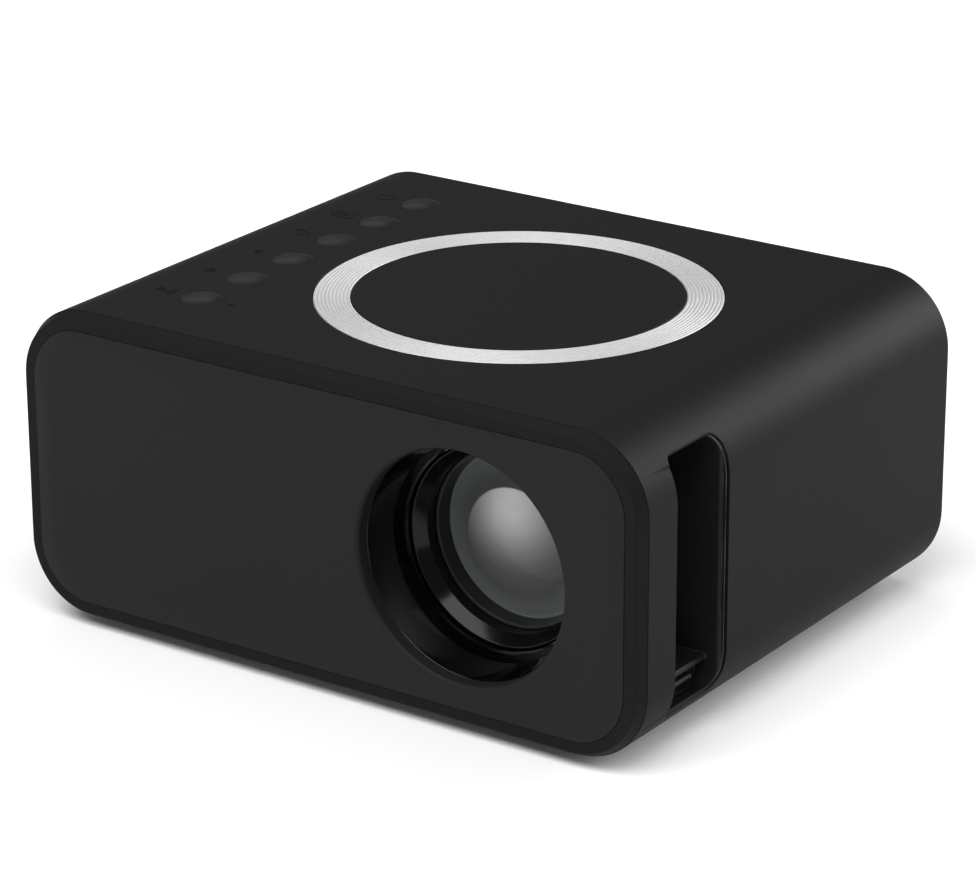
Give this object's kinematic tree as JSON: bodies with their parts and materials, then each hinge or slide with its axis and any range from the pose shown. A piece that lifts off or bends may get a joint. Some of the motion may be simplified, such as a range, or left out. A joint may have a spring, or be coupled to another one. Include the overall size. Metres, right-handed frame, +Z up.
{
  "type": "mini projector",
  "caption": "Small rounded black video projector with a recessed focusing lens, side focus wheel slot, bright ring and push buttons on top, cooling fan and rear sockets.",
  "frame": {"origin": "middle of the footprint, on the surface that the feet stand on", "axes": "+X across the case towards the focus slot, +Y from the lens side to the rear panel, +Z up"},
  "size_m": [0.12, 0.095, 0.0551],
  "materials": {
    "case_plastic": "satin black moulded plastic with a very fine grain",
    "frame_plastic": "satin black moulded plastic",
    "panel_plastic": "matte black moulded plastic",
    "recess_black": "glossy black plastic",
    "barrel_black": "glossy black plastic",
    "wheel_black": "ribbed matte black plastic",
    "ring_metal": "fine-turned bright aluminium",
    "button_plastic": "satin black plastic",
    "rear_plastic": "satin black moulded plastic",
    "lens_glass": "clear coated glass",
    "fresnel_sheet": "clear grooved sheet",
    "display_glass": "grey display glass",
    "tray_plastic": "black moulded plastic",
    "foot_rubber": "matte black rubber",
    "bush_brass": "turned brass",
    "board_green": "green solder mask",
    "board_white": "white solder mask on aluminium",
    "switch_black": "black plastic",
    "socket_steel": "tinned sheet steel",
    "socket_black": "black plastic",
    "sink_aluminium": "extruded aluminium",
    "fan_black": "black plastic",
    "speaker_black": "black paper cone in a black frame",
    "ribbon_white": "white flat ribbon",
    "screw_steel": "blackened steel"
  },
  "bodies": {
    "case": {"outer_sleeve": "case_plastic", "front_frame": "frame_plastic", "front_panel": "panel_plastic", "lens_hood": "recess_black", "slot_liner": "recess_black", "lens_holder": "recess_black", "top_ring": "ring_metal", "rear_panel": "rear_plastic", "condenser_lens": "lens_glass", "front_fresnel": "fresnel_sheet", "rear_fresnel": "fresnel_sheet", "lcd_panel": "display_glass", "chassis_tray": "tray_plastic", "engine_housing": "tray_plastic", "condenser_holder": "tray_plastic", "rubber_feet": "foot_rubber", "tripod_bush": "bush_brass", "main_board": "board_green", "button_board": "board_green", "led_module": "board_white", "tact_switches": "switch_black", "main_chip": "switch_black", "capacitors": "switch_black", "hdmi_socket": "socket_steel", "usb_socket": "socket_steel", "power_socket": "socket_steel", "audio_socket": "socket_black", "heat_sink": "sink_aluminium", "chip_cooler": "sink_aluminium", "fan_frame": "fan_black", "speaker": "speaker_black", "key_ribbon": "ribbon_white", "base_screws": "screw_steel", "board_screws": "screw_steel", "button_board_screws": "screw_steel", "rear_screws": "screw_steel", "fan_screws": "screw_steel", "holder_screws": "screw_steel"},
    "lens_unit": {"lens_barrel": "barrel_black", "front_lens_ring": "barrel_black", "front_lens": "lens_glass", "rear_lens": "lens_glass", "rear_lens_ring": "barrel_black"},
    "focus_dial": {"focus_wheel": "wheel_black"},
    "fan_blades": {"fan_rotor": "fan_black"},
    "play_button": {"button_play": "button_plastic"},
    "right_button": {"button_right": "button_plastic"},
    "left_button": {"button_left": "button_plastic"},
    "back_button": {"button_back": "button_plastic"},
    "source_button": {"button_source": "button_plastic"},
    "power_button": {"button_power": "button_plastic"}
  },
  "joints": [
    {"name": "focus_turn", "type": "hinge", "parent": "case", "child": "focus_dial", "pos_m": [0.02728, -0.03678, 0.0281], "axis": [0, 1, 0], "range_deg": [-60, 60]},
    {"name": "lens_focus", "type": "slide", "parent": "case", "child": "lens_unit", "axis": [0, 1, 0], "range_m": [-0.003, 0.003]},
    {"name": "fan_spin", "type": "hinge", "parent": "case", "child": "fan_blades", "pos_m": [0.02728, 0.03497, 0.0281], "axis": [0, 1, 0], "continuous": true},
    {"name": "play_press", "type": "slide", "parent": "case", "child": "play_button", "axis": [0, 0, -1], "range_m": [0, 0.0006], "stiffness_N_per_m": 1500},
    {"name": "right_press", "type": "slide", "parent": "case", "child": "right_button", "axis": [0, 0, -1], "range_m": [0, 0.0006], "stiffness_N_per_m": 1500},
    {"name": "left_press", "type": "slide", "parent": "case", "child": "left_button", "axis": [0, 0, -1], "range_m": [0, 0.0006], "stiffness_N_per_m": 1500},
    {"name": "back_press", "type": "slide", "parent": "case", "child": "back_button", "axis": [0, 0, -1], "range_m": [0, 0.0006], "stiffness_N_per_m": 1500},
    {"name": "source_press", "type": "slide", "parent": "case", "child": "source_button", "axis": [0, 0, -1], "range_m": [0, 0.0006], "stiffness_N_per_m": 1500},
    {"name": "power_press", "type": "slide", "parent": "case", "child": "power_button", "axis": [0, 0, -1], "range_m": [0, 0.0006], "stiffness_N_per_m": 1500}
  ],
  "couplings": [
    {"joint": "lens_focus", "follows": "focus_turn", "m_per_rad": 0.00286}
  ]
}
